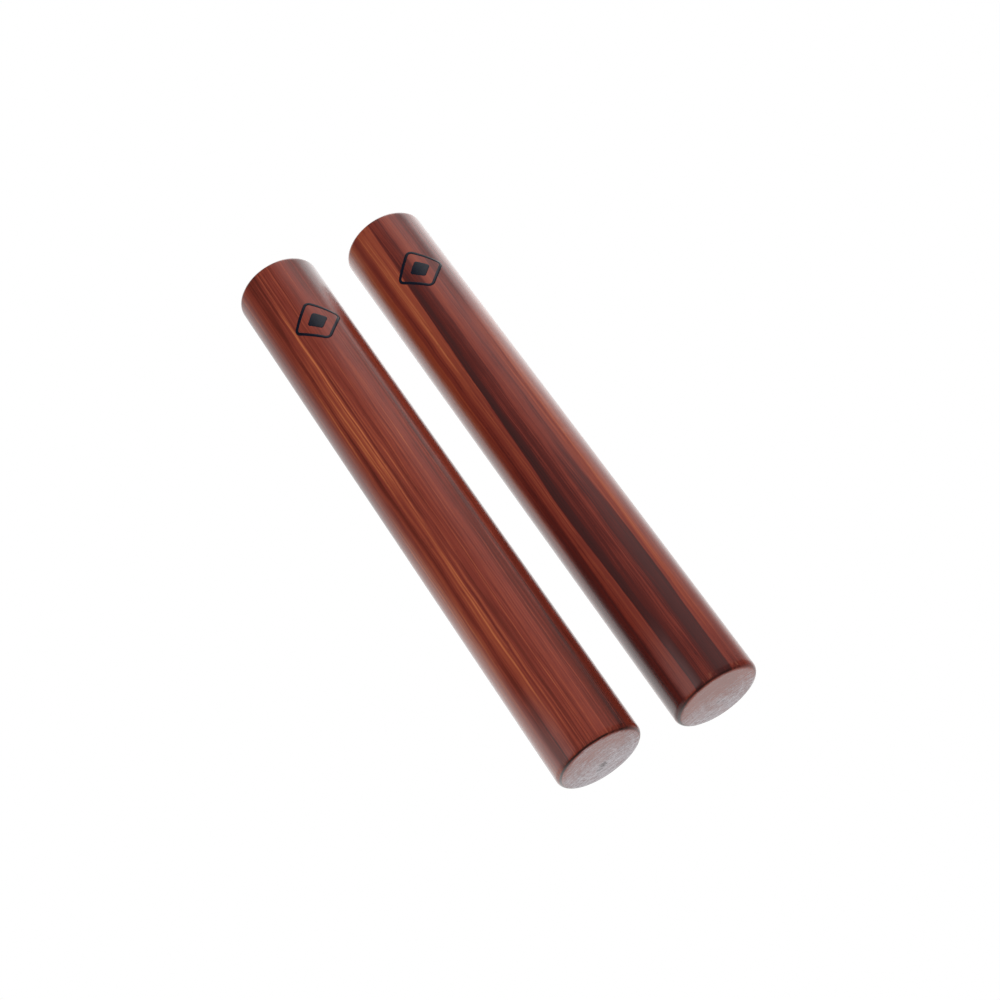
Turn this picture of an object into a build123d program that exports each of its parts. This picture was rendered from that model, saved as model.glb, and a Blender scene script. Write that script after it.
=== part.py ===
from build123d import *

import os

# A pair of claves: two solid turned hardwood sticks lying side by side, each with a small
# printed mark near its -X end.
# Millimetres, +Z up. The sticks run along X and rest on Z = 0, the held clave on the -Y side.
# The origin is on the resting surface, midway between the sticks and midway along them.

# Sticks
STICK_DIAMETER = 25.0
STICK_LENGTH = 180.0  # over both end faces
EDGE_RADIUS = 1.8  # round-over between the barrel and each end face
STICK_SPACING = 35.4  # axis to axis
STICK_RADIUS = STICK_DIAMETER / 2

# Printed marks: spans are corner to corner, before the corners are rounded
MARK_SPAN = 16.0
MARK_CORNER = 1.8  # outer corner radius of the outline
MARK_LINE = 0.7  # width of the outline
CORE_SPAN = 6.6  # solid diamond at the centre
CORE_CORNER = 0.7
FILM_THICKNESS = 0.05  # ink on the barrel
FILM_LENGTH = 3 * MARK_SPAN  # tube the film is cut from, longer than the mark
COLUMN_MARGIN = 2.0  # how far the cutting column rises above the barrel

# name: (y of the stick's axis, centre of its mark from the -X end face)
CLAVES = {
    "held_clave": (-STICK_SPACING / 2, 26.5),
    "striking_clave": (STICK_SPACING / 2, 24.3),
}


def rod(radius, length):
    """A cylinder along X, centred on the origin."""
    return Cylinder(radius, length, rotation=(0, 90, 0))


def stick(y):
    """One turned stick, resting on Z = 0, rounded over at both ends."""
    barrel = rod(STICK_RADIUS, STICK_LENGTH)
    barrel = fillet(barrel.edges().filter_by(GeomType.CIRCLE), EDGE_RADIUS)
    return Pos(0, y, STICK_RADIUS) * barrel


def diamond(span, corner_radius):
    """A square stood on its corner, with rounded corners."""
    side = span / 2**0.5
    return Rot(0, 0, 45) * RectangleRounded(side, side, corner_radius)


def mark(y, from_end):
    """A diamond outline round a solid diamond, as a film that follows the top of the barrel."""
    # A line of even width takes sqrt(2) times that width off the span at each corner.
    inner_span = MARK_SPAN - 2 * MARK_LINE * 2**0.5
    outline = diamond(MARK_SPAN, MARK_CORNER) - diamond(inner_span, MARK_CORNER - MARK_LINE)
    ink = outline + diamond(CORE_SPAN, CORE_CORNER)

    place = Pos(-STICK_LENGTH / 2 + from_end, y, STICK_RADIUS)
    column = place * extrude(ink, STICK_RADIUS + COLUMN_MARGIN)
    tube = rod(STICK_RADIUS + FILM_THICKNESS, FILM_LENGTH) - rod(STICK_RADIUS, FILM_LENGTH)
    return Compound(children=list((column & (place * tube)).solids()))


os.makedirs("parts", exist_ok=True)
for name, (y, mark_from_end) in CLAVES.items():
    export_step(stick(y), f"parts/{name}.step")
    export_step(mark(y, mark_from_end), f"parts/{name}_printed_mark.step")
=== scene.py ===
"""A pair of claves: two round hardwood sticks lying along X on a white floor at z = 0.

Each has rounded ends and a printed diamond mark on its top (+Z) side. Angles round a stick are in
degrees from +Y towards +Z, so 90 is straight up.
"""
import math
from collections import namedtuple
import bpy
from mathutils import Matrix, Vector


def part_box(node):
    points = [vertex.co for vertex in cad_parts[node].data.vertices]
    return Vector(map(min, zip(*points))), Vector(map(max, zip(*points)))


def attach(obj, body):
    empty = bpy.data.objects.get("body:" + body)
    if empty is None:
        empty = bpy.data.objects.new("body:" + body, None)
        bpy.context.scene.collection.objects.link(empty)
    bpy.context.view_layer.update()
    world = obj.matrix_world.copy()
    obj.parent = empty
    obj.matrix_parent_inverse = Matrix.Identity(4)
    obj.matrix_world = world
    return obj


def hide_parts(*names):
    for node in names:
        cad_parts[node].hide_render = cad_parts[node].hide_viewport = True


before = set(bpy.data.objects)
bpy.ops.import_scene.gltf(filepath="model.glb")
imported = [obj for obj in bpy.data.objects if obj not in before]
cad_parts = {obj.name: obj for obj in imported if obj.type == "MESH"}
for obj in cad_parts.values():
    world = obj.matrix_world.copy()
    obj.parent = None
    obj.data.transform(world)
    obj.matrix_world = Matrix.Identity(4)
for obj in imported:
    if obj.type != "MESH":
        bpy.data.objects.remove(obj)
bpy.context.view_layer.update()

from types import SimpleNamespace

import bmesh
import bpy
import numpy as np
from mathutils import Matrix, Vector, noise

MM = 0.001
TO_MM = 1000.0
HALF_LENGTH = 90.0  # mm, of a stick, as the wood grain counts it
BARREL_RADIUS = 12.5  # mm, as the grain and the printed marks count it
EDGE = 1.8  # mm, round-over at both ends

# start and end are the x of the -X and +X ends; y, z place the axis; all in metres
Stick = namedtuple("Stick", "start end y z radius")


def read_stick(node):
    low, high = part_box(node)
    y, z = (low.y + high.y) / 2, (low.z + high.z) / 2
    return Stick(low.x, high.x, y, z, (high.z - low.z) / 2)


# ---------------------------------------------------------------------------------------------
# node building
class Net:
    """Short names for building a node tree; a value may be a number or a socket."""

    def __init__(self, tree):
        self.nodes, self.links = tree.nodes, tree.links

    def new(self, kind, **props):
        node = self.nodes.new(kind)
        for key, value in props.items():
            setattr(node, key, value)
        return node

    def put(self, socket, value):
        if isinstance(value, bpy.types.NodeSocket):
            self.links.new(value, socket)
        elif value is not None:
            socket.default_value = value

    def fill(self, node, **values):
        """Sets inputs by name, with _ for a space."""
        for key, value in values.items():
            self.put(node.inputs[key.replace("_", " ")], value)

    def math(self, op, a, b=None, clamp=False):
        """A math node, or plain arithmetic where both values are numbers."""
        if not clamp and all(isinstance(v, (int, float)) for v in (a, b)):
            if op in ("ADD", "SUBTRACT", "MULTIPLY"):
                return {"ADD": a + b, "SUBTRACT": a - b, "MULTIPLY": a * b}[op]
        node = self.new("ShaderNodeMath", operation=op, use_clamp=clamp)
        for socket, value in zip(node.inputs, (a, b)):
            self.put(socket, value)
        return node.outputs[0]

    def add(self, first, *others):
        for value in others:
            first = self.math("ADD", first, value)
        return first

    def sub(self, a, b):
        return self.math("SUBTRACT", a, b)

    def mul(self, first, *others):
        for value in others:
            first = self.math("MULTIPLY", first, value)
        return first

    def dot(self, y, z, by_y, by_z):
        return self.add(self.mul(y, by_y), self.mul(z, by_z))

    def swings(self, *pairs):
        """For each (noise, amount), the noise centred on zero and scaled."""
        return [self.mul(self.sub(value, 0.5), amount) for value, amount in pairs]

    def smooth(self, value, span, to=(0.0, 1.0)):
        """Eases from to[0] at span[0] to to[1] at span[1]."""
        node = self.new("ShaderNodeMapRange", interpolation_type="SMOOTHSTEP", clamp=True)
        self.fill(node, Value=value, From_Min=span[0], From_Max=span[1])
        self.fill(node, To_Min=to[0], To_Max=to[1])
        return node.outputs["Result"]

    def window(self, value, rise, fall):
        """Eases from 0 to 1 over rise and back to 0 over fall."""
        return self.mul(self.smooth(value, rise), self.smooth(value, fall, to=(1.0, 0.0)))

    def bell(self, value, centre, width):
        offset = self.math("DIVIDE", self.sub(value, centre), width)
        return self.math("EXPONENT", self.mul(self.mul(offset, offset), -1.0))

    def curve(self, share, points, low, high):
        """A smooth curve through (share, value) points; share is 0 to 1, values low to high."""
        node = self.new("ShaderNodeFloatCurve")
        curve = node.mapping.curves[0]
        points = [(at, (value - low) / (high - low)) for at, value in points]
        if points[0][0] > 0.0:
            points = [(0.0, points[0][1])] + points
        if points[-1][0] < 1.0:
            points = points + [(1.0, points[-1][1])]
        while len(curve.points) < len(points):
            curve.points.new(0.5, 0.5)
        for point, location in zip(curve.points, points):
            point.location = location
            point.handle_type = "AUTO"
        node.mapping.update()
        self.put(node.inputs["Value"], share)
        return self.add(self.mul(node.outputs["Value"], high - low), low)

    def stretched(self, axes, scales, shift=None):
        """A vector of three coordinates, each scaled; shift moves it along the third."""
        places = [self.mul(axis, scale) for axis, scale in zip(axes, scales)]
        if shift is not None:
            places[2] = self.add(places[2], shift)
        node = self.new("ShaderNodeCombineXYZ")
        for socket, value in zip(node.inputs, places):
            self.put(socket, value)
        return node.outputs[0]

    def noise(self, axes, scales, shift=None, detail=2.0, rough=0.5):
        vector = self.stretched(axes, scales, shift)
        node = self.new("ShaderNodeTexNoise")
        self.fill(node, Vector=vector, Scale=1.0, Detail=detail, Roughness=rough)
        return node.outputs["Fac"]

    def cells(self, axes, scales, shift):
        vector = self.stretched(axes, scales, shift)
        node = self.new("ShaderNodeTexVoronoi")
        self.fill(node, Vector=vector, Scale=1.0)
        return node.outputs["Distance"]

    def ramp(self, value, stops):
        node = self.new("ShaderNodeValToRGB")
        node.color_ramp.interpolation = "EASE"
        elements = node.color_ramp.elements
        while len(elements) < len(stops):
            elements.new(0.5)
        for element, (position, colour) in zip(elements, stops):
            element.position = position
            element.color = (*colour, 1.0)
        self.put(node.inputs[0], value)
        return node.outputs["Color"]

    def mix(self, share, under, over):
        node = self.new("ShaderNodeMix", data_type="RGBA")
        self.put(node.inputs[0], share)
        for socket, value in ((node.inputs[6], under), (node.inputs[7], over)):
            self.put(socket, (*value, 1.0) if isinstance(value, tuple) else value)
        return node.outputs[2]

    def bump(self, height, distance, strength):
        node = self.new("ShaderNodeBump")
        self.fill(node, Height=height, Distance=distance, Strength=strength)
        return node.outputs["Normal"]

    def separate(self, vector):
        node = self.new("ShaderNodeSeparateXYZ")
        self.links.new(vector, node.inputs[0])
        return tuple(node.outputs)

    def object_place(self):
        return self.separate(self.new("ShaderNodeTexCoord").outputs["Object"])

    def by_ray(self, mirrored, diffuse):
        """Light level: 1 for the camera, and separate levels for glossy and diffuse rays."""
        path = self.new("ShaderNodeLightPath").outputs
        return self.add(
            self.mul(path["Is Camera Ray"], 1.0),
            self.mul(path["Is Glossy Ray"], mirrored),
            self.mul(path["Is Diffuse Ray"], diffuse),
        )


def empty_material(name):
    material = bpy.data.materials.new(name)
    material.use_nodes = True
    material.node_tree.nodes.clear()
    return material, Net(material.node_tree)


def coated_material(name, coat, coat_roughness):
    """A principled material that shines only through its clear coat."""
    material, net = empty_material(name)
    out = net.new("ShaderNodeOutputMaterial")
    bsdf = net.new("ShaderNodeBsdfPrincipled")
    net.links.new(bsdf.outputs[0], out.inputs[0])
    net.fill(bsdf, Specular_IOR_Level=0.0, Coat_Weight=coat)
    net.fill(bsdf, Coat_IOR=1.5, Coat_Roughness=coat_roughness)
    return material, net, bsdf


# ---------------------------------------------------------------------------------------------
# wood. The growth layers are nearly flat sheets that run the whole length of a stick, and the
# colour bands on the barrel are these layers coming to the surface.
LAYER_TURN = 200.0  # direction of the layers' normal round the stick, degrees
NORMAL_Y, NORMAL_Z = math.cos(math.radians(LAYER_TURN)), math.sin(math.radians(LAYER_TURN))
BOW = 0.008  # how the layers curve, 1/mm
LAYER_LOW, LAYER_HIGH = -14.0, 14.0  # range of the layer coordinate, mm

# colours laid over the wood
PORE_COLOUR = (0.018, 0.006, 0.006)
CUT_END = (0.34, 0.075, 0.045)
# painted reflection of the white floor on the end faces, from its dark to its pale colour
END_REFLECTION_DARK, END_REFLECTION_PALE = (0.21, 0.165, 0.19), (0.66, 0.60, 0.64)
# dark spots on the end faces, at and near the cracks
CRACK_DARK = (0.060, 0.030, 0.036)
# painted shade of the dark line round each end, and the orange of rim spots that are partly wear
# and partly painted highlight
RIM_PAINTED_SHADE, RIM_WEAR_AND_HIGHLIGHT = (0.030, 0.008, 0.006), (0.36, 0.12, 0.06)
# painted sheen: the grey of a soft reflection on one shoulder near the +X end
SHEEN_COLOUR = (0.42, 0.33, 0.33)
# painted light: a white brighter than 1, the colour of the -X end of the striking stick as
# mirrored rays see it
PAINTED_MIRROR_GLOW = (3.0, 2.9, 2.9)

# One feature of the growth layers. Edges and middles are angles where the layer meets the upper
# side of the barrel: one number, or (x mm, angle) points. The tone it adds is (x mm, tone) points.
Band = namedtuple("Band", "low high soft_low soft_high tone")
Line = namedtuple("Line", "middle width tone")


def layer_at(angle):
    """The layer coordinate, mm, where the barrel is at this angle."""
    turn = math.radians(angle - LAYER_TURN)
    return BARREL_RADIUS * math.cos(turn) + BOW * (BARREL_RADIUS * math.sin(turn)) ** 2


def x_share(x):
    return (x + HALF_LENGTH) / (2 * HALF_LENGTH)


def wood_places(net, stick, seed):
    """Where a point is: x, y, z from the stick's axis in mm, and its place in the layers."""
    x, y, z = net.object_place()
    x = net.mul(x, TO_MM)
    y = net.mul(net.sub(y, stick.y), TO_MM)
    z = net.mul(net.sub(z, stick.z), TO_MM)
    through = net.dot(y, z, by_y=NORMAL_Y, by_z=NORMAL_Z)
    across = net.dot(y, z, by_y=-NORMAL_Z, by_z=NORMAL_Y)
    even_layer = net.add(through, net.mul(net.mul(across, across), BOW))
    share = net.math("DIVIDE", net.add(x, HALF_LENGTH), 2 * HALF_LENGTH, clamp=True)
    # the layers wander a little along the stick
    axes = (x, even_layer, across)
    wander = net.noise(axes, (0.022, 0.10, 0.10), seed)
    ripple = net.noise(axes, (0.085, 0.35, 0.22), seed + 5.0)
    layer = net.add(even_layer, *net.swings((wander, 0.9), (ripple, 0.42)))
    return SimpleNamespace(
        x=x, y=y, z=z, across=across, even_layer=even_layer, share=share, layer=layer
    )


def layer_tone(net, wood, tone, features):
    def edge(points):
        if isinstance(points, (int, float)):
            return layer_at(points)
        points = [(x_share(x), layer_at(angle)) for x, angle in points]
        return net.curve(wood.share, points, LAYER_LOW, LAYER_HIGH)

    for item in features:
        if isinstance(item, Band):
            low, high = edge(item.low), edge(item.high)
            soft_low, soft_high = item.soft_low / 2, item.soft_high / 2
            inside = net.mul(
                net.smooth(net.sub(wood.layer, low), span=(-soft_low, soft_low)),
                net.smooth(net.sub(wood.layer, high), span=(-soft_high, soft_high), to=(1.0, 0.0)),
            )
        else:
            inside = net.bell(wood.layer, edge(item.middle), item.width)
        values = [value for _, value in item.tone]
        points = [(x_share(x), value) for x, value in item.tone]
        amount = net.curve(wood.share, points, min(values) - 0.1, max(values) + 0.1)
        tone = net.add(tone, net.mul(inside, amount))
    return tone


def streaked_tone(net, wood, seed, tone, grain):
    """Adds streaks along the grain, from broad to fine, and a scatter of thin threads."""
    axes = (wood.x, wood.layer, wood.across)
    broad = net.noise(axes, (0.012, 0.75, 0.16), seed + 11.0, detail=3.0, rough=0.6)
    wood.fine = net.noise(axes, (0.030, 2.6, 1.3), seed + 23.0, detail=4.0, rough=0.68)
    wood.hair = net.noise(axes, (0.11, 7.5, 6.0), seed + 31.0, rough=0.6)
    wood.mottle = net.noise(axes, (0.11, 0.30, 0.30), seed + 47.0)
    thread = net.noise(axes, (0.016, 4.4, 0.35), seed + 61.0, detail=1.0)
    # where the barrel runs nearly along the layers, the figure is broad and flat
    flat_axes = (wood.x, wood.across, wood.layer)
    flat = net.noise(flat_axes, (0.013, 0.85, 0.3), seed + 71.0, detail=3.0, rough=0.6)
    flat_side = net.add(
        net.smooth(wood.even_layer, span=(-11.2, -12.1)),
        net.smooth(wood.even_layer, span=(11.7, 12.3)),
    )
    return net.add(
        tone,
        net.mul(flat_side, net.sub(flat, 0.5), 0.75),
        *net.swings(
            (broad, 0.40 * grain), (wood.fine, 0.57 * grain),
            (wood.hair, 0.20 * grain), (wood.mottle, 0.12),
        ),
        net.smooth(thread, span=(0.58, 0.70), to=(0.0, 0.17 * grain)),
        net.smooth(thread, span=(0.40, 0.28), to=(0.0, -0.10 * grain)),
    )


def with_pores(net, wood, seed, colour):
    """Open pores filled with lacquer: short dark dashes on the barrel, dots on the ends."""
    cells = net.cells((wood.x, wood.layer, wood.across), (0.16, 1.9, 1.9), seed)
    pore = net.smooth(cells, span=(0.05, 0.17), to=(1.0, 0.0))
    wood.pore = net.mul(pore, net.smooth(wood.hair, span=(0.42, 0.58)))
    return net.mix(net.mul(wood.pore, 0.55), colour, PORE_COLOUR)


def with_end_faces(net, wood, seed, colour, end_reflection_range, dark_spots):
    """The cut ends: paler wood, a painted reflection of the white floor over it as a broken grey
    haze, heavier towards the bottom, and a few dark spots at and near the cracks.
    """
    x, y, z, face = wood.x, wood.y, wood.z, wood.face
    axes = (y, z, x)
    clouds = net.noise(axes, (0.9, 0.9, 0.02), seed + 3.0, detail=5.0, rough=0.62)
    # scratches, slightly bowed
    along = net.dot(y, z, by_y=0.926, by_z=0.377)
    aside = net.dot(y, z, by_y=-0.377, by_z=0.926)
    aside = net.add(aside, net.mul(along, along, 0.014))
    scratch = net.noise((aside, along, x), (2.1, 0.16, 0.02), seed + 7.0, detail=3.0, rough=0.7)
    patch = net.noise(axes, (0.26, 0.26, 0.02), seed + 9.0, detail=3.0, rough=0.6)
    radius = net.math("SQRT", net.add(net.mul(y, y), net.mul(z, z)))
    turned = net.noise((radius, y, z), (1.1, 0.13, 0.13), seed, detail=3.0, rough=0.65)
    speck = net.noise(axes, (1.9, 1.9, 0.02), seed + 1.0, detail=3.0, rough=0.75)
    wood.clouds, wood.scratch = clouds, scratch

    colour = net.mix(net.mul(face, 0.75), colour, CUT_END)
    upward = net.dot(y, z, by_y=-0.20, by_z=0.95)
    # painted reflection: a grey haze over the end face, heavier towards the bottom, broken by
    # clouds, scratches and specks
    end_reflection = net.add(
        net.smooth(upward, span=(-9.0, 8.0), to=end_reflection_range),
        *net.swings((clouds, 0.8), (patch, 0.9), (turned, 0.7), (scratch, 1.3), (speck, 0.6)),
    )
    # the painted reflection is paler towards the bottom
    reflection_paleness = net.add(
        net.smooth(upward, span=(-9.5, 9.5), to=(0.66, 0.34)),
        *net.swings((scratch, 1.9), (speck, 2.2), (turned, 1.1)),
    )
    reflection_colour = net.mix(net.math("ADD", reflection_paleness, 0.0, clamp=True), END_REFLECTION_DARK, END_REFLECTION_PALE)
    end_reflection = net.math("MINIMUM", net.math("MAXIMUM", end_reflection, 0.0), 0.95)
    colour = net.mix(net.mul(face, end_reflection), colour, reflection_colour)
    # dark spots at and near the cracks
    for side, spot_y, spot_z, size, strength in dark_spots:
        square_y = net.math("POWER", net.sub(y, spot_y), 2.0)
        square_z = net.math("POWER", net.sub(z, spot_z), 2.0)
        away = net.math("SQRT", net.add(square_y, square_z))
        ragged = net.add(away, *net.swings((speck, 1.4 * size), (clouds, 1.6 * size)))
        spot = net.smooth(ragged, span=(size * 0.35, size), to=(1.0, 0.0))
        on_side = net.math("GREATER_THAN", net.mul(x, side), 0.0)
        colour = net.mix(net.mul(face, spot, on_side, strength), colour, CRACK_DARK)
    return colour


def with_rims(net, wood, seed, colour, rim_shade):
    """A broken dark ring round each end, painted shade where the round-over mirrors something
    dark, and beside it orange spots, partly wear and partly painted highlight.
    """
    rim = net.window(wood.depth, rise=(0.16, 0.28), fall=(0.46, 0.72))
    axes = (wood.y, wood.z, wood.x)
    breaks = net.noise(axes, (0.45, 0.45, 0.1), seed + 17.0, detail=3.0, rough=0.6)
    tilted = net.add(breaks, net.mul(wood.y, -0.02))
    # painted shade, broken up and heavier towards -Y
    rim_shade_share = net.add(rim_shade, net.smooth(tilted, span=(0.36, 0.58), to=(0.0, 0.60)))
    colour = net.mix(net.mul(rim, rim_shade_share), colour, RIM_PAINTED_SHADE)
    # orange spots just beyond the ring, on the outer round-over: partly wear, partly painted
    # highlight
    wear_and_highlight = net.mul(
        net.window(wood.depth, rise=(0.55, 0.9), fall=(1.2, 2.2)),
        net.smooth(breaks, span=(0.42, 0.32)),
    )
    return net.mix(net.mul(wear_and_highlight, 0.45), colour, RIM_WEAR_AND_HIGHLIGHT)


def with_painted_sheen(net, wood, colour, angle, amount, start):
    """A painted sheen, the pale grey of a soft reflection, on one shoulder towards the +X end;
    start is in mm from the axis.
    """
    turn = math.radians(angle)
    outward = net.dot(wood.y, wood.z, by_y=math.cos(turn), by_z=math.sin(turn))
    sheen_share = net.mul(
        net.smooth(outward, span=(start, 12.46)),
        net.smooth(wood.x, span=(62.0, 89.0)),
        net.smooth(wood.depth, span=(0.4, 1.2)),
        net.add(0.12, net.mul(wood.mottle, 0.16)),
        amount,
    )
    return net.mix(sheen_share, colour, SHEEN_COLOUR)


def put_surface(net, wood, bsdf):
    """Roughness, and relief of the wood and of the lacquer over it."""
    x, y, z, face = wood.x, wood.y, wood.z, wood.face
    fine, pore = wood.fine, wood.pore
    rub = net.noise((x, y, z), (0.5, 0.5, 0.5), detail=4.0, rough=0.7)
    roughness = net.add(
        0.36, *net.swings((fine, 0.25), (rub, 0.20)), net.mul(face, 0.12), net.mul(pore, 0.15)
    )
    grain_height = net.add(
        net.mul(fine, 0.5),
        net.mul(wood.hair, 0.35),
        net.mul(pore, -0.6),
        net.mul(face, net.mul(wood.clouds, 0.8)),
    )
    skin_height = net.add(
        net.noise((x, y, z), (0.10, 0.32, 0.32)),
        net.mul(fine, 0.05),
        net.mul(pore, -0.05),
        net.mul(face, net.mul(wood.scratch, 0.35)),
    )
    net.fill(
        bsdf,
        Roughness=roughness,
        Normal=net.bump(grain_height, distance=0.00006, strength=0.7),
        Coat_Normal=net.bump(skin_height, distance=0.00004, strength=0.6),
    )


def wood_material(
    name, stick, seed, features, base, colours, grain, end_reflection_range, dark_spots, sheen, rim_shade, mirrored_glow
):
    """base is the tone before any feature, grain the strength of the streaks; the end-face range
    is the painted reflection of the floor on the end faces, a grey haze, from bottom to top."""
    material, net, bsdf = coated_material(name, coat=1.0, coat_roughness=0.25)
    wood = wood_places(net, stick, seed)
    tone = layer_tone(net, wood, base, features)
    colour = net.ramp(streaked_tone(net, wood, seed, tone, grain), colours)
    colour = with_pores(net, wood, seed, colour)
    # mm in from the nearer end plane, and a mask for the end face
    wood.depth = net.sub(HALF_LENGTH, net.math("ABSOLUTE", wood.x))
    wood.face = net.smooth(wood.depth, span=(0.03, 0.26), to=(1.0, 0.0))
    colour = with_end_faces(net, wood, seed, colour, end_reflection_range, dark_spots)
    colour = with_rims(net, wood, seed, colour, rim_shade)
    # painted sheen on one shoulder near the +X end
    colour = with_painted_sheen(net, wood, colour, **sheen)
    if mirrored_glow:
        # painted light: for glossy rays only, the -X end's colour turns a white brighter than 1,
        # so that mirrored in the other stick it dissolves into the light behind it
        glossy = net.new("ShaderNodeLightPath").outputs["Is Glossy Ray"]
        glow_share = net.mul(glossy, net.smooth(wood.x, span=(-72.0, -90.0)))
        colour = net.mix(glow_share, colour, PAINTED_MIRROR_GLOW)
    net.put(bsdf.inputs["Base Color"], colour)
    put_surface(net, wood, bsdf)
    return material


# wood colour from dark to light: (tone, colour)
HELD_COLOURS = [
    (0.00, (0.024, 0.006, 0.006)), (0.20, (0.064, 0.010, 0.007)),
    (0.42, (0.138, 0.019, 0.010)), (0.56, (0.205, 0.030, 0.017)),
    (0.74, (0.285, 0.053, 0.023)), (1.00, (0.470, 0.125, 0.042)),
]
STRIKING_COLOURS = [
    (0.00, (0.040, 0.013, 0.012)), (0.18, (0.062, 0.013, 0.012)),
    (0.34, (0.094, 0.013, 0.010)), (0.52, (0.185, 0.027, 0.016)),
    (0.72, (0.275, 0.050, 0.022)), (1.00, (0.430, 0.110, 0.040)),
]

HELD_FEATURES = [
    Band(144.5, 200, 1.0, 0.5,
         [(-90, 0.08), (0, 0.08), (22, 0.19), (55, 0.22), (80, 0.12), (90, 0.08)]),
    Line([(-90, 146), (-20, 145.5), (0, 148.5)], 0.50,
         [(-90, 0.02), (-60, 0.08), (-30, 0.16), (-16, 0.05), (0, -0.08), (14, -0.13),
          (34, -0.04), (50, 0)]),
    Line([(-90, 139.6), (0, 141.2), (40, 141), (90, 141.5)], 0.50,
         [(-90, -0.08), (-55, -0.02), (-30, -0.02), (0, -0.12), (40, -0.08), (90, -0.14)]),
    Band(138.5, 153.5, 1.0, 1.2, [(-90, 0), (40, 0), (62, -0.09), (80, -0.20), (90, -0.22)]),
    Line(136.0, 0.45, [(-90, -0.05), (-76, -0.06), (-69, -0.14), (-62, -0.05), (-50, 0)]),
    Band([(-90, 124), (90, 125)], 136.5, 0.6, 0.8,
         [(-90, -0.17), (-78, -0.12), (-60, 0.05), (-20, 0.13), (4, 0.05), (40, 0.07),
          (66, 0.09), (90, -0.02)]),
    Line(132.4, 0.28,
         [(-90, 0), (-66, 0.05), (-48, 0.05), (-24, 0.24), (-6, 0.14), (20, 0.11), (42, 0.20),
          (62, 0.06), (80, 0)]),
    Line(134.6, 0.18, [(-90, 0), (-36, 0.06), (-14, 0.08), (24, 0.02), (42, 0.07), (60, 0)]),
    Line([(-90, 129.6), (40, 130.6), (90, 131)], 0.18,
         [(-90, 0.04), (-58, 0.10), (-30, 0.12), (0, 0.06), (20, 0.03), (50, 0.09), (84, 0.05)]),
    Line([(0, 126.4), (40, 127.4), (64, 127.5), (90, 129.0)], 0.26,
         [(-90, 0), (-4, 0.04), (30, 0.20), (52, 0.28), (66, 0.24), (78, 0.08), (90, 0.06)]),
    Line([(-90, 124.4), (-60, 123.6), (0, 124.8), (30, 124.8), (60, 125.2)], 0.36,
         [(-90, 0), (-60, 0.05), (-30, 0.04), (-6, 0.18), (26, 0.24), (50, 0.20), (80, 0.02)]),
    Line([(-90, 124.4), (-66, 123.1), (-40, 122.2), (0, 122.0), (30, 121.6)], 0.22,
         [(-90, 0), (-78, 0.12), (-64, 0.40), (-36, 0.42), (-6, 0.36), (12, 0.20), (30, 0)]),
    Line([(-90, 121.6), (-40, 120.6), (0, 120.2)], 0.13,
         [(-90, 0), (-66, 0.10), (-36, 0.14), (-10, 0.08), (6, 0)]),
    Line([(-90, 118.6), (0, 117.6)], 0.26,
         [(-90, -0.10), (-56, -0.07), (-20, -0.05), (4, -0.06), (16, 0)]),
    Line([(0, 117.2), (30, 117.8), (60, 118.8), (90, 119.4)], 0.34,
         [(-90, 0), (8, 0.03), (36, 0.20), (60, 0.24), (76, 0.08), (90, 0.02)]),
    Line([(-90, 115.2), (-50, 115.6)], 0.18, [(-90, 0.16), (-76, 0.14), (-56, 0.10), (-40, 0)]),
    Line(112.2, 0.34,
         [(-90, 0), (-50, 0.08), (-20, 0.13), (6, 0.08), (24, 0.01), (34, -0.07), (66, -0.07),
          (90, -0.08)]),
    Line([(-90, 109.4), (90, 110.4)], 0.30, [(-90, 0), (40, 0), (74, -0.05), (90, -0.10)]),
    Line(106.0, 0.50,
         [(-90, -0.02), (-40, -0.05), (0, -0.05), (20, 0), (60, -0.05), (90, -0.02)]),
    Line(102.2, 0.22, [(-90, 0), (-10, 0.06), (14, 0.06), (36, 0.14), (60, 0.20), (80, 0.12)]),
    Line([(-90, 98.6), (20, 99.6), (90, 99.0)], 0.50,
         [(-90, 0.02), (-40, 0.06), (0, 0.07), (26, 0.07), (50, 0.03), (90, 0)]),
    Line(92.8, 0.16, [(-90, 0), (12, 0.02), (36, 0.12), (72, 0.16), (90, 0.12)]),
    Line(84.2, 0.60, [(-90, 0.02), (-50, 0.06), (0, 0.10), (40, 0.05), (90, 0.07)]),
    Line(74.0, 0.60,
         [(-90, -0.08), (-40, -0.09), (0, -0.07), (30, -0.02), (60, 0), (90, -0.03)]),
    Line(68.6, 0.24, [(-90, 0), (-44, 0.01), (-22, 0.13), (10, 0.12), (26, 0.02)]),
    Line(68.0, 0.70, [(-90, 0), (40, 0), (62, -0.06), (90, -0.12)]),
    Line(60.0, 0.85,
         [(-90, -0.13), (-60, -0.09), (-40, -0.13), (0, -0.12), (30, -0.08), (60, -0.11),
          (90, -0.16)]),
    Band(70, 78.5, 0.8, 0.6,
         [(-90, 0), (-30, 0), (10, -0.06), (50, -0.12), (80, -0.06), (90, -0.05)]),
    Band(60, 70, 1.0, 0.8,
         [(-90, 0), (-54, 0), (-30, -0.09), (10, -0.04), (50, -0.06), (90, -0.08)]),
    Band(48, 60, 1.6, 1.0,
         [(-90, 0), (-50, 0), (-30, -0.04), (10, -0.07), (50, -0.15), (90, -0.14)]),
    Band(20, 56, 0.3, 1.4,
         [(-90, -0.16), (-80, -0.12), (-66, 0), (0, 0.03), (24, 0), (50, -0.02), (80, -0.02)]),
    Band(20, 79, 0.3, 1.5, [(-90, -0.14), (-78, -0.10), (-62, 0), (-50, 0)]),
]

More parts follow.
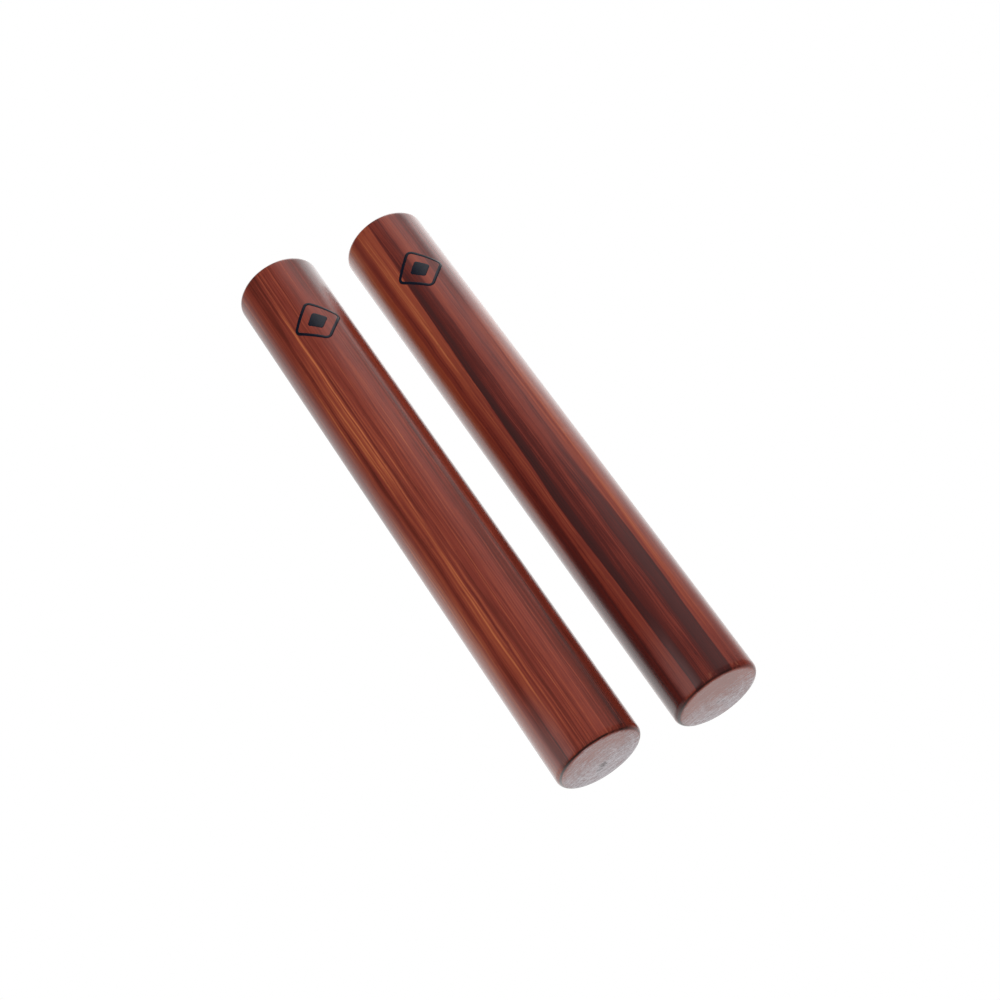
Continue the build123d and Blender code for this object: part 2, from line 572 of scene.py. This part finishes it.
# edges that several bands of the striking stick share
UPPER_EDGE = [
    (-90, 114.5), (-74, 117.0), (-60, 119.8), (-40, 121.6), (-20, 124.0), (0, 126.8),
    (22, 130.0), (45, 128.9), (62, 126.8), (90, 126.4),
]
BELOW_UPPER_EDGE = [(x, angle - 10.5) for x, angle in UPPER_EDGE]
LOWER_EDGE = [(-90, 77.0), (0, 78.2), (20, 77.6), (45, 75.6), (70, 75.4), (90, 76.0)]

STRIKING_FEATURES = [
    Band(150, 200, 1.6, 0.5,
         [(-90, 0.29), (-50, 0.26), (-30, 0.25), (0, 0.16), (40, 0.06), (70, 0.02)]),
    Band([(-90, 146.4), (90, 147)], [(-90, 158), (20, 158), (52, 176), (90, 190)], 0.9, 1.8,
         [(-90, 0.02), (-30, 0), (-8, -0.10), (20, -0.21), (50, -0.25), (90, -0.29)]),
    Line(144.5, 0.45, [(-90, -0.06), (-30, -0.04), (0, -0.06), (60, -0.07), (90, -0.04)]),
    Line([(0, 139.6), (90, 140.6)], 0.40,
         [(-90, 0), (10, 0.02), (36, -0.07), (66, -0.03), (90, -0.03)]),
    Band(UPPER_EDGE, [(-90, 137.2), (-30, 138.7), (90, 139)], 0.30, 0.9,
         [(-90, 0.15), (-60, 0.18), (-34, 0.14), (-14, 0.06), (8, 0.01), (90, 0)]),
    Line([(-90, 134.3), (-40, 132.8), (0, 134.0)], 0.32,
         [(-90, 0.10), (-62, 0.12), (-40, 0.32), (-24, 0.12), (0, 0.07), (20, 0)]),
    Line([(-90, 129.8), (-50, 129.4)], 0.28, [(-90, 0.08), (-64, 0.22), (-44, 0.12), (-28, 0)]),
    Line(127.2, 0.20, [(-90, 0.08), (-70, 0.14), (-54, 0.10), (-40, 0)]),
    Line([(-40, 137.4), (0, 136.8), (60, 135.2), (90, 135.2)], 0.24,
         [(-90, 0), (-50, 0.08), (-20, 0.09), (0, 0.08), (30, 0.03), (60, 0.08), (84, 0.05)]),
    Line([(0, 133.2), (60, 133.0), (90, 132)], 0.14,
         [(-90, 0), (0, 0.06), (22, 0.10), (44, 0), (64, 0.08), (90, 0)]),
    Line([(0, 141.8), (60, 142.8)], 0.20, [(-90, 0), (20, 0), (42, 0.07), (62, 0.02), (90, 0)]),
    Band(BELOW_UPPER_EDGE, UPPER_EDGE, 2.0, 0.42,
         [(-90, 0), (-72, -0.04), (-52, -0.22), (0, -0.24), (60, -0.22), (90, -0.20)]),
    Band([(-90, 96.5), (-40, 97.0), (-20, 98.5), (0, 102.5), (30, 103.0), (90, 99)], UPPER_EDGE,
         1.0, 0.34, [(-90, -0.08), (-60, -0.10), (0, -0.14), (90, -0.15)]),
    Line([(0, 104), (90, 104.5)], 0.30, [(-90, 0), (24, 0), (44, 0.02), (62, 0.06), (80, 0.04)]),
    Line(101.2, 0.55, [(-90, 0), (-10, -0.06), (10, -0.10), (50, -0.08), (70, 0), (90, 0)]),
    Line([(0, 99.6), (20, 99.8), (60, 100.4), (90, 99)], 0.20,
         [(-90, 0), (6, 0), (24, 0.08), (44, 0.10), (64, 0.08), (84, 0.03)]),
    Line([(-60, 97), (0, 95.5), (40, 95.6)], 0.46,
         [(-60, 0), (-40, -0.06), (-16, -0.06), (0, 0.05), (16, 0.03), (34, 0.13), (60, 0.14),
          (90, 0.14)]),
    Line([(-90, 110), (60, 112)], 0.26,
         [(-90, 0), (-40, 0.04), (-10, 0), (20, -0.06), (44, -0.06), (70, 0.02)]),
    Band(84.5, 93.5, 0.6, 0.6, [(-90, 0.09), (-60, 0.08), (-40, 0.02), (-20, 0.01), (0, 0)]),
    Line(80.5, 0.45, [(-90, -0.06), (-60, -0.03), (0, -0.05), (14, 0)]),
    Band(LOWER_EDGE, [(-90, 95.5), (30, 97), (90, 99)], 0.55, 2.0,
         [(-90, 0), (-18, 0), (4, -0.06), (22, -0.17), (44, -0.28), (90, -0.33)]),
    Band(55, LOWER_EDGE, 0.9, 0.6,
         [(-90, -0.11), (-56, -0.11), (-42, -0.01), (-20, 0.06), (20, 0.10), (46, 0.13),
          (66, 0.10), (80, 0.01), (90, -0.07)]),
    Line([(-60, 64.9), (40, 64.4)], 0.30,
         [(-90, 0), (-48, 0), (-22, 0.06), (14, 0.09), (40, 0.06), (60, 0)]),
    Line([(-60, 61.2), (90, 61.4)], 0.40, [(-90, 0), (10, 0), (30, 0.14), (56, 0.16), (84, 0.10)]),
    Line([(-60, 68.8), (90, 69.3)], 0.22,
         [(-90, 0), (4, 0), (20, 0.05), (38, 0), (60, 0.09), (74, 0)]),
    Line([(-60, 71.6), (90, 71.4)], 0.36,
         [(-90, 0), (0, 0), (20, -0.04), (40, -0.15), (60, -0.13), (90, -0.10)]),
    Line(58.0, 0.60,
         [(-90, 0), (-60, 0.04), (-40, 0.09), (-20, 0.07), (10, 0.05), (40, 0.02), (60, 0)]),
    Band(42, 63.5, 2.0, 1.2,
         [(-90, 0), (-56, 0), (-30, 0.06), (-10, 0.10), (20, 0.06), (44, 0)]),
    Line([(-40, 62.6), (-10, 65.6), (20, 65.0), (50, 66.2)], 0.30,
         [(-90, 0), (-56, 0), (-40, 0.06), (-10, 0.10), (20, 0.11), (50, 0.10), (70, 0.02),
          (90, 0)]),
    Line([(-40, 66.8), (-10, 69.0), (20, 68.2)], 0.24,
         [(-90, 0), (-56, 0), (-40, -0.06), (-10, -0.06), (20, -0.07), (36, 0)]),
    Line(60.4, 0.34, [(-90, 0), (30, 0), (46, -0.09), (60, -0.07), (74, 0)]),
    Line(73.8, 0.40, [(-90, 0), (30, 0), (44, -0.08), (60, -0.08), (78, 0)]),
    Band(20, 54, 0.5, 0.9,
         [(-90, -0.06), (-60, -0.03), (-44, 0.08), (-26, 0.05), (0, 0), (40, 0.02), (90, 0.03)]),
]

# ---------------------------------------------------------------------------------------------
# stick geometry, in mm until the vertices are placed
SEGMENTS = 192  # round the stick
FACE_RINGS, ARC_RINGS, SIDE_RINGS = 24, 14, 200
END, ROUND, SIDE = 0, 1, 2  # parts of the profile
WAVE_COUNT, WAVE_RATE, WAVE_TURNS = 9, 0.16, 4  # highest rate is in rad/mm along the stick


def barrel_radius(stick, seed, x, angle):
    """The turned surface, mm: just inside the true size, slightly wavy. angle in radians."""
    rng = np.random.default_rng(int(seed * 1000))
    wave = 0.0
    for _ in range(WAVE_COUNT):
        rate = rng.uniform(-WAVE_RATE, WAVE_RATE)
        turns = int(rng.integers(-WAVE_TURNS, WAVE_TURNS + 1))
        phase = rng.uniform(0, 2 * math.pi)
        wave = wave + np.sin(x * rate + angle * turns + phase)
    wave = np.clip(wave / (1.25 * math.sqrt(WAVE_COUNT)), -1.0, 1.0)
    return stick.radius * TO_MM - (0.010 + 0.009 * wave)


def around(a, b):
    """The angle from b to a, radians, between -pi and pi."""
    return np.remainder(a - b + math.pi, 2 * math.pi) - math.pi


def stick_profile(length, radius):
    """(x, radius, part) from the middle of the -X end to the middle of the +X end."""
    flat = radius - EDGE
    half = [(-length / 2, flat * i / FACE_RINGS, END) for i in range(1, FACE_RINGS)]
    for i in range(ARC_RINGS + 1):
        turn = math.pi / 2 * i / ARC_RINGS
        x = -length / 2 + EDGE * (1 - math.cos(turn))
        half.append((x, flat + EDGE * math.sin(turn), ROUND))
    step = (length - 2 * EDGE) / SIDE_RINGS
    side = [(-length / 2 + EDGE + step * i, radius, SIDE) for i in range(1, SIDE_RINGS)]
    return half + side + [(-x, ring, part) for x, ring, part in reversed(half)]


def end_sink(seed, side_sign, y, z, cracks):
    """How far the end faces lie below their plane: a gentle unevenness and fine cracks."""
    rng = np.random.default_rng(int(seed * 77))
    sink = 0.006
    for _ in range(6):
        rate_y, rate_z = rng.uniform(-0.5, 0.5), rng.uniform(-0.5, 0.5)
        sink = sink + 0.0012 * np.sin(y * rate_y + z * rate_z + rng.uniform(0, 6.28))
    for side, crack_y, crack_z, turn, length, width, depth in cracks:
        cos, sin = math.cos(math.radians(turn)), math.sin(math.radians(turn))
        along = (y - crack_y) * cos + (z - crack_z) * sin
        aside = -(y - crack_y) * sin + (z - crack_z) * cos
        aside = aside - 0.10 * np.sin(along * 3.0)
        groove = depth * np.exp(-((along / length) ** 2) - (aside / width) ** 2)
        sink = sink + np.where(side_sign == side, groove, 0.0)
    return sink


def solid(name, verts, faces, validate=False):
    """A smooth-shaded mesh object with its normals turned outward."""
    mesh = bpy.data.meshes.new(name)
    mesh.from_pydata(verts, [], faces)
    if validate:
        mesh.validate()
    bm = bmesh.new()
    bm.from_mesh(mesh)
    bmesh.ops.recalc_face_normals(bm, faces=bm.faces)
    bm.to_mesh(mesh)
    bm.free()
    mesh.polygons.foreach_set("use_smooth", [True] * len(mesh.polygons))
    ob = bpy.data.objects.new(name, mesh)
    bpy.context.scene.collection.objects.link(ob)
    return ob


def read_values(items, key, width=1, kind=float):
    values = np.empty(len(items) * width, dtype=kind)
    items.foreach_get(key, values)
    return values.reshape(-1, width) if width > 1 else values


def unwrap(mesh, stick):
    """The barrel as one strip along U, the two ends as discs above it."""
    layer = mesh.uv_layers.new(name="OFBake")
    middle = (stick.start + stick.end) / 2
    length = (stick.end - stick.start) * TO_MM
    corners = read_values(mesh.loops, "vertex_index", kind=int)
    point = read_values(mesh.vertices, "co", width=3)[corners]
    face_sizes = read_values(mesh.polygons, "loop_total", kind=int)
    centre = np.repeat(read_values(mesh.polygons, "center", width=3), face_sizes, axis=0)
    on_end = np.abs(centre[:, 0] - middle) * TO_MM > length / 2 - EDGE * 0.30
    disc_middle = np.where(centre[:, 0] < middle, 0.20, 0.60)
    disc_u = disc_middle + 0.175 * (point[:, 1] - stick.y) / stick.radius
    disc_v = 0.81 + 0.175 * (point[:, 2] - stick.z) / stick.radius
    # a corner's angle is counted from its face's, so no face spans the seam
    face_angle = np.arctan2(centre[:, 2] - stick.z, centre[:, 1] - stick.y)
    point_angle = np.arctan2(point[:, 2] - stick.z, point[:, 1] - stick.y)
    point_angle = face_angle + around(point_angle, face_angle)
    whole_turns = np.floor((face_angle + math.pi / 2) / (2 * math.pi))
    turns = (point_angle + math.pi / 2) / (2 * math.pi) - whole_turns
    strip_u = 0.01 + 0.98 * (point[:, 0] - stick.start) * TO_MM / length
    strip_v = 0.01 + 0.60 * turns
    both = np.stack([np.where(on_end, disc_u, strip_u), np.where(on_end, disc_v, strip_v)], -1)
    layer.data.foreach_set("uv", both.astype(np.float32).ravel())


def make_stick(name, stick, seed, dents, nicks, cracks):
    """Sizes in the tables are mm, angles degrees, and side is 1 for the +X end, -1 for the -X.
    dents: (x, angle, depth, half width along x, half width round), anywhere on the barrel
    nicks: (side, angle, depth, half width round), in the round-over
    cracks: (side, y, z, turn, half length, half width, depth), in an end face
    """
    radius, length = stick.radius * TO_MM, (stick.end - stick.start) * TO_MM
    middle = (stick.start + stick.end) / 2
    profile = np.array(stick_profile(length, radius), dtype=float)
    line_x, line_r, part = (column[:, None] for column in profile.T)
    side_sign = np.sign(line_x)
    angle = (2 * math.pi * np.arange(SEGMENTS) / SEGMENTS)[None, :]
    x, ring = line_x + 0 * angle, line_r + 0 * angle
    outside = part != END
    ring = ring - np.where(outside, radius - barrel_radius(stick, seed, x, angle), 0.0)
    for dent_x, turn, depth, width_x, width_round in dents:
        round_share = around(angle, math.radians(turn)) * radius / width_round
        away = ((x - dent_x) / width_x) ** 2 + round_share**2
        ring = ring - np.where(outside, depth * np.exp(-away), 0.0)
    swell = 0.3 + 0.7 * np.sin(np.pi * np.clip((line_r - (radius - EDGE)) / EDGE, 0, 1))
    for side, turn, depth, width in nicks:
        away = (around(angle, math.radians(turn)) * radius / width) ** 2
        at_edge = (part == ROUND) & (side_sign == side)
        ring = ring - np.where(at_edge, depth * np.exp(-away) * swell, 0.0)
    sink = end_sink(seed, side_sign, line_r * np.cos(angle), line_r * np.sin(angle), cracks)
    x = x - side_sign * np.where(part == END, sink, 0.0)
    y, z = stick.y + ring * np.cos(angle) * MM, stick.z + ring * np.sin(angle) * MM
    verts = np.stack([middle + x * MM, y, z], -1).reshape(-1, 3).tolist()

    # a vertex in the middle of each end closes the tube
    low_pole, high_pole = len(verts), len(verts) + 1
    for pole_x in (-length / 2 + 0.006, length / 2 - 0.006):
        verts.append([middle + pole_x * MM, stick.y, stick.z])
    j = np.arange(SEGMENTS)
    k = (j + 1) % SEGMENTS
    last = (len(profile) - 1) * SEGMENTS
    faces = np.stack([np.full(SEGMENTS, low_pole), j, k], -1)[:, ::-1].tolist()
    faces += np.stack([np.full(SEGMENTS, high_pole), last + j, last + k], -1).tolist()
    i = np.arange(len(profile) - 1)[:, None] * SEGMENTS
    quads = np.stack([i + j, i + k, i + SEGMENTS + k, i + SEGMENTS + j], -1)
    faces += quads.reshape(-1, 4).tolist()
    ob = solid(name, verts, faces)
    unwrap(ob.data, stick)
    return ob


# ---------------------------------------------------------------------------------------------
# printed marks, mm: ink standing just proud of the barrel
FRAME_CORNER = 1.8  # corner radius of the diamond outline
CORE_HALF, CORE_CORNER = 3.3, 0.7  # half diagonal and corner radius of the solid diamond
INK_SUNK, INK_EDGE, INK_FILM, INK_CROWN = -0.03, 0.006, 0.028, 0.004  # heights; crown adds
# cross-section of the outline: (inset from its outer edge, height)
FRAME_SECTION = [
    (0.0, INK_SUNK), (0.0, INK_EDGE), (0.05, INK_FILM), (0.45, INK_FILM + INK_CROWN),
    (0.85, INK_FILM), (0.90, INK_EDGE), (0.90, INK_SUNK),
]
# rings of the solid diamond, from its edge inwards: share of its size, and height of the top
CORE_SHARES = [1.0, 0.985, 0.93, 0.8, 0.65, 0.5, 0.35, 0.2, 0.08]
CORE_HEIGHTS = [INK_EDGE, INK_FILM, INK_FILM + 0.002] + [INK_FILM + INK_CROWN] * 6


def diamond_outline(half, corner, per_corner=14, per_side=30):
    """(x, arc) points round a square stood on its corner, with rounded corners."""
    core = half - corner * math.sqrt(2)
    centres = [(core, 0.0), (0.0, core), (-core, 0.0), (0.0, -core)]

    def on_corner(centre, turn):
        return (centre[0] + corner * math.cos(turn), centre[1] + corner * math.sin(turn))

    points = []
    for i, centre in enumerate(centres):
        spread = np.linspace(-math.pi / 4, math.pi / 4, per_corner)
        points += [on_corner(centre, math.radians(90 * i) + turn) for turn in spread]
        start = points[-1]
        end = on_corner(centres[(i + 1) % 4], math.radians(90 * (i + 1)) - math.pi / 4)
        for f in np.linspace(0, 1, per_side + 2)[1:-1]:
            points.append(tuple(a + (b - a) * f for a, b in zip(start, end)))
    return np.array(points)


def make_mark(name, stick, node, turn, seed):
    """A thin diamond outline round a solid diamond, turned from the top by turn degrees."""
    low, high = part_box(node)
    mark_x = (low.x + high.x) / 2
    half = (high.x - low.x) / 2 * TO_MM
    half_unrounded = half + FRAME_CORNER * (math.sqrt(2) - 1)
    middle = (stick.start + stick.end) / 2

    def on_barrel(point, height):
        x = mark_x + point[0] * MM
        angle = math.radians(90 + turn) + point[1] / BARREL_RADIUS
        radius = (float(barrel_radius(stick, seed, (x - middle) * TO_MM, angle)) + height) * MM
        return (x, stick.y + radius * math.cos(angle), stick.z + radius * math.sin(angle))

    def ragged(points, shift):
        """Moves the points in or out by a few hundredths of a mm."""
        out = []
        for x, y in points:
            push = noise.noise(Vector((x * 1.7 + shift, y * 1.7, seed))) * 0.030
            scale = 1 + push / (math.hypot(x, y) or 1.0)
            out.append((x * scale, y * scale))
        return np.array(out)

    verts, faces = [], []
    for inset, height in FRAME_SECTION:
        outline = diamond_outline(half_unrounded - inset * math.sqrt(2), FRAME_CORNER - inset)
        outline = ragged(outline, 0.0 if inset < 0.2 else 9.0)
        verts += [on_barrel(point, height) for point in outline]
    count, rows = len(outline), len(FRAME_SECTION)
    for i in range(rows):
        a, b = i * count, (i + 1) % rows * count
        for j in range(count):
            k = (j + 1) % count
            faces.append((a + j, a + k, b + k, b + j))

    edge = ragged(diamond_outline(CORE_HALF, CORE_CORNER), 4.0)
    count, rows = len(edge), len(CORE_SHARES)

    def add_core_side(heights, middle_height):
        first = len(verts)
        for share, height in zip(CORE_SHARES, heights):
            verts.extend(on_barrel(point * share, height) for point in edge)
        verts.append(on_barrel((0.0, 0.0), middle_height))
        return first, len(verts) - 1

    top, top_middle = add_core_side(CORE_HEIGHTS, INK_FILM + INK_CROWN)
    under, under_middle = add_core_side([INK_SUNK] * rows, INK_SUNK)
    inner = (rows - 1) * count
    for j in range(count):
        k = (j + 1) % count
        for i in range(rows - 1):
            a, b = i * count, (i + 1) * count
            faces.append((top + a + j, top + a + k, top + b + k, top + b + j))
            faces.append((under + a + j, under + b + j, under + b + k, under + a + k))
        faces.append((top + inner + j, top + inner + k, top_middle))
        faces.append((under + inner + j, under_middle, under + inner + k))
        faces.append((top + j, under + j, under + k, top + k))
    return solid(name, verts, faces, validate=True)


INK_COLOURS = [
    (0.30, (0.003, 0.003, 0.006)), (0.55, (0.006, 0.008, 0.016)), (0.80, (0.016, 0.020, 0.034)),
]


def ink_material():
    material, net, bsdf = coated_material("printed_ink", coat=0.6, coat_roughness=0.14)
    x, y, _ = net.object_place()
    x, y = net.mul(x, TO_MM), net.mul(y, TO_MM)
    blot = net.noise((x, y, 2.0), (1.1, 1.1, 1.0), detail=4.0, rough=0.65)
    grain = net.noise((x, y, 8.0), (0.35, 6.0, 1.0), detail=3.0, rough=0.6)
    tone = net.add(net.mul(blot, 0.6), net.mul(grain, 0.4))
    net.put(bsdf.inputs["Base Color"], net.ramp(tone, INK_COLOURS))
    net.fill(
        bsdf,
        Roughness=net.add(0.30, *net.swings((blot, 0.3))),
        Normal=net.bump(net.add(blot, grain), distance=0.00002, strength=0.5),
    )
    return material


# ---------------------------------------------------------------------------------------------
# the two claves
held, striking = read_stick("held_clave"), read_stick("striking_clave")
HELD_SEED, STRIKING_SEED = 2.0, 7.0  # of the barrels' waviness, which the marks follow

held_ob = make_stick(
    "held_clave_wood", held, HELD_SEED,
    dents=[
        (-6.0, 62.0, 0.035, 1.6, 1.0), (9.0, 150.0, 0.030, 1.3, 0.9),
        (22.0, 215.0, 0.05, 1.8, 1.1), (-31.0, 285.0, 0.04, 1.5, 1.0),
        (41.0, 330.0, 0.045, 1.7, 1.0),
    ],
    nicks=[
        (1, 128.0, 0.10, 1.6), (1, 98.0, 0.05, 1.2), (-1, 150.0, 0.05, 1.5),
        (1, 300.0, 0.08, 1.3), (-1, 20.0, 0.07, 1.5),
    ],
    cracks=[
        (1, 0.9, -3.3, 35.0, 0.85, 0.16, 0.20), (1, 0.5, -3.9, 100.0, 0.5, 0.14, 0.12),
        (-1, -1.2, 2.1, 70.0, 0.8, 0.14, 0.15),
    ],
)
striking_ob = make_stick(
    "striking_clave_wood", striking, STRIKING_SEED,
    dents=[
        (3.0, 60.0, 0.030, 1.5, 1.0), (-14.0, 158.0, 0.03, 1.4, 0.9),
        (17.0, 236.0, 0.05, 1.7, 1.1), (30.0, 275.0, 0.04, 1.5, 1.0),
        (-26.0, 320.0, 0.045, 1.6, 1.0),
    ],
    nicks=[
        (1, 118.0, 0.07, 1.4), (1, 84.0, 0.05, 1.1), (-1, 60.0, 0.05, 1.4),
        (1, 250.0, 0.08, 1.3), (-1, 200.0, 0.06, 1.5),
    ],
    cracks=[
        (1, 0.2, -2.6, 20.0, 0.35, 0.16, 0.10), (1, 1.9, -3.4, 60.0, 0.30, 0.15, 0.10),
        (-1, 1.5, -1.1, 110.0, 0.7, 0.13, 0.14),
    ],
)
held_mark = make_mark(
    "held_clave_ink", held, "held_clave_printed_mark", turn=-2.4, seed=HELD_SEED
)
striking_mark = make_mark(
    "striking_clave_ink", striking, "striking_clave_printed_mark", turn=2.1, seed=STRIKING_SEED
)

# dark spots at and near the end cracks: (side, y, z, radius, strength), mm from the axis of the
# stick
held_wood = wood_material(
    "streaked_hardwood", held, seed=2.0, features=HELD_FEATURES, base=0.53,
    colours=HELD_COLOURS, grain=1.15, end_reflection_range=(1.0, 0.24),
    dark_spots=[(1, 0.7, -3.4, 1.6, 0.9), (1, -0.3, -5.4, 1.1, 0.6), (-1, -1.2, 2.1, 1.0, 0.6)],
    sheen=dict(angle=146.0, amount=0.85, start=11.3), rim_shade=0.38, mirrored_glow=False,
)
striking_wood = wood_material(
    "banded_hardwood", striking, seed=60.0, features=STRIKING_FEATURES, base=0.52,
    colours=STRIKING_COLOURS, grain=0.74, end_reflection_range=(0.80, -0.10),
    dark_spots=[(1, 0.2, -2.6, 0.7, 0.6), (1, 1.9, -3.4, 0.6, 0.5), (-1, 1.5, -1.1, 0.8, 0.6)],
    sheen=dict(angle=131.0, amount=0.60, start=11.85), rim_shade=0.20, mirrored_glow=True,
)
ink = ink_material()

for ob, material, body, node, slot in (
    (held_ob, held_wood, "held_clave", "held_clave", "streaked_hardwood"),
    (striking_ob, striking_wood, "striking_clave", "striking_clave", "banded_hardwood"),
    (held_mark, ink, "held_clave", "held_clave_printed_mark", "printed_ink"),
    (striking_mark, ink, "striking_clave", "striking_clave_printed_mark", "printed_ink"),
):
    ob.data.materials.append(material)
    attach(ob, body)
    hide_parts(node)

# ---------------------------------------------------------------------------------------------
# White floor and soft studio light. What the lacquer mirrors is set by direction: a broad soft
# light low beyond the sticks from the camera, and a bright floor close to them.
MIRROR_BASE = 0.05  # least light the lacquer mirrors
FLOOR_NEAR, FLOOR_BACK, FLOOR_FRONT = 0.90, 2.35, 0.50  # mirrored: nearby, at -X +Y, at +X
FLOOR_GAP = 1.68  # mirrored floor on the +Y side of y = -12 mm, as a share of FLOOR_NEAR
FLOOR_DIFFUSE = 0.25  # floor light on the wood
BACK_LIGHT = 2.6  # mirrored strength of the low light
SKY_LOW, SKY_HIGH = 0.45, 0.80  # sky light on the wood: at the horizon, and added higher up


def angles(net, vector):
    """x and y of a direction, its azimuth from 0 to 360 and its elevation, degrees."""
    x, y, z = net.separate(vector)
    azimuth = net.mul(net.math("ARCTAN2", y, x), 180 / math.pi)
    azimuth = net.add(azimuth, net.mul(net.math("LESS_THAN", azimuth, 0.0), 360.0))
    return x, y, azimuth, net.mul(net.math("ARCSINE", z), 180 / math.pi)


def back_light(net, azimuth):
    return net.window(azimuth, rise=(110.0, 127.0), fall=(150.0, 176.0))


def mirrored_floor(net):
    """Floor light the lacquer mirrors, by the ray's direction and where it lands (metres)."""
    toward = net.new("ShaderNodeVectorMath", operation="SCALE")
    net.links.new(net.new("ShaderNodeNewGeometry").outputs["Incoming"], toward.inputs[0])
    toward.inputs["Scale"].default_value = -1.0
    ray_x, _, azimuth, elevation = angles(net, toward.outputs[0])
    down = net.mul(elevation, -1.0)
    x, y, _ = net.separate(net.new("ShaderNodeNewGeometry").outputs["Position"])
    gap = net.mul(
        net.smooth(y, span=(-0.020, -0.012)), net.smooth(x, span=(0.084, 0.092), to=(1.0, 0.0))
    )
    gap_lift = net.add(FLOOR_GAP - 1.0, net.smooth(x, span=(-0.09, 0.0), to=(0.40, 0.0)))
    outer = net.mul(
        net.smooth(y, span=(-0.026, -0.030)), net.smooth(x, span=(-0.03, 0.085), to=(0.26, 0.80))
    )
    near = net.mul(FLOOR_NEAR, net.add(1.0, net.mul(gap, gap_lift), outer))
    back_fade = net.smooth(down, span=(10.0, 45.0), to=(FLOOR_BACK, 0.0))
    front = net.smooth(ray_x, span=(0.10, 0.34), to=(0.0, FLOOR_FRONT))
    return net.add(
        MIRROR_BASE,
        net.mul(net.smooth(down, span=(3.0, 45.0)), near),
        net.mul(back_light(net, azimuth), back_fade),
        net.mul(front, net.smooth(down, span=(30.0, 55.0))),
    )


def studio_floor():
    mesh = bpy.data.meshes.new("floor")
    bm = bmesh.new()
    bmesh.ops.create_circle(bm, cap_ends=True, segments=96, radius=3.0)
    bm.to_mesh(mesh)
    bm.free()
    ob = bpy.data.objects.new("floor", mesh)
    bpy.context.scene.collection.objects.link(ob)
    ob.location = (0.0, 0.0, -0.00005)
    material, net = empty_material("floor")
    out = net.new("ShaderNodeOutputMaterial")
    level = net.by_ray(mirrored=mirrored_floor(net), diffuse=FLOOR_DIFFUSE)
    emission = net.new("ShaderNodeEmission")
    net.fill(emission, Strength=level, Color=(1.0, 1.0, 1.0, 1.0))
    net.links.new(emission.outputs[0], out.inputs[0])
    mesh.materials.append(material)


def studio_world():
    world = bpy.data.worlds.new("studio")
    bpy.context.scene.world = world
    world.use_nodes = True
    world.node_tree.nodes.clear()
    net = Net(world.node_tree)
    out = net.new("ShaderNodeOutputWorld")
    background = net.new("ShaderNodeBackground")
    net.links.new(background.outputs[0], out.inputs[0])
    direction = net.new("ShaderNodeTexCoord").outputs["Generated"]
    x, y, azimuth, elevation = angles(net, direction)
    low_fade = net.smooth(elevation, span=(-4.0, 19.0), to=(BACK_LIGHT, 0.0))
    low_light = net.mul(back_light(net, azimuth), low_fade)
    # a weaker light over the -X +Y quarter
    above = net.mul(
        net.smooth(y, span=(-0.20, 0.60)),
        net.smooth(net.mul(x, -1.0), span=(0.0, 0.36)),
        net.add(0.28, net.smooth(net.mul(x, -1.0), span=(0.44, 0.64), to=(0.0, 1.3))),
        net.smooth(elevation, span=(-4.0, 4.0)),
        net.smooth(elevation, span=(14.0, 32.0), to=(0.45, 1.0)),
    )
    mirrored = net.add(MIRROR_BASE, low_light, above)
    soft = net.add(
        SKY_LOW,
        net.smooth(elevation, span=(-5.0, 60.0), to=(0.0, SKY_HIGH)),
        net.mul(net.smooth(y, span=(-0.2, 0.9)), 0.10),
    )
    level = net.by_ray(mirrored=mirrored, diffuse=soft)
    net.fill(background, Strength=level, Color=(1.0, 1.0, 1.0, 1.0))
    world.cycles.sampling_method = "NONE"


studio_floor()
studio_world()

# ---------------------------------------------------------------------------------------------
# camera: above the +X -Y side, looking down at the sticks
CAMERA_PLACE = Vector((0.28599, -0.16215, 0.47786))
CAMERA_RIGHT = Vector((0.50569, 0.86272, 0.0))
CAMERA_UP = Vector((-0.70972, 0.41601, 0.56853))
CAMERA_BACK = Vector((0.49048, -0.28750, 0.82266))

camera_data = bpy.data.cameras.new("camera")
camera = bpy.data.objects.new("camera", camera_data)
bpy.context.scene.collection.objects.link(camera)
camera_data.sensor_fit = "HORIZONTAL"
camera_data.sensor_width = 36.0
camera_data.lens = 74.44
camera_data.clip_start, camera_data.clip_end = 0.01, 20.0
rotation = Matrix((CAMERA_RIGHT, CAMERA_UP, CAMERA_BACK)).transposed().to_4x4()
camera.matrix_world = Matrix.Translation(CAMERA_PLACE) @ rotation
bpy.context.scene.camera = camera

bpy.context.scene.view_settings.view_transform = "Standard"
bpy.context.scene.view_settings.look = "None"
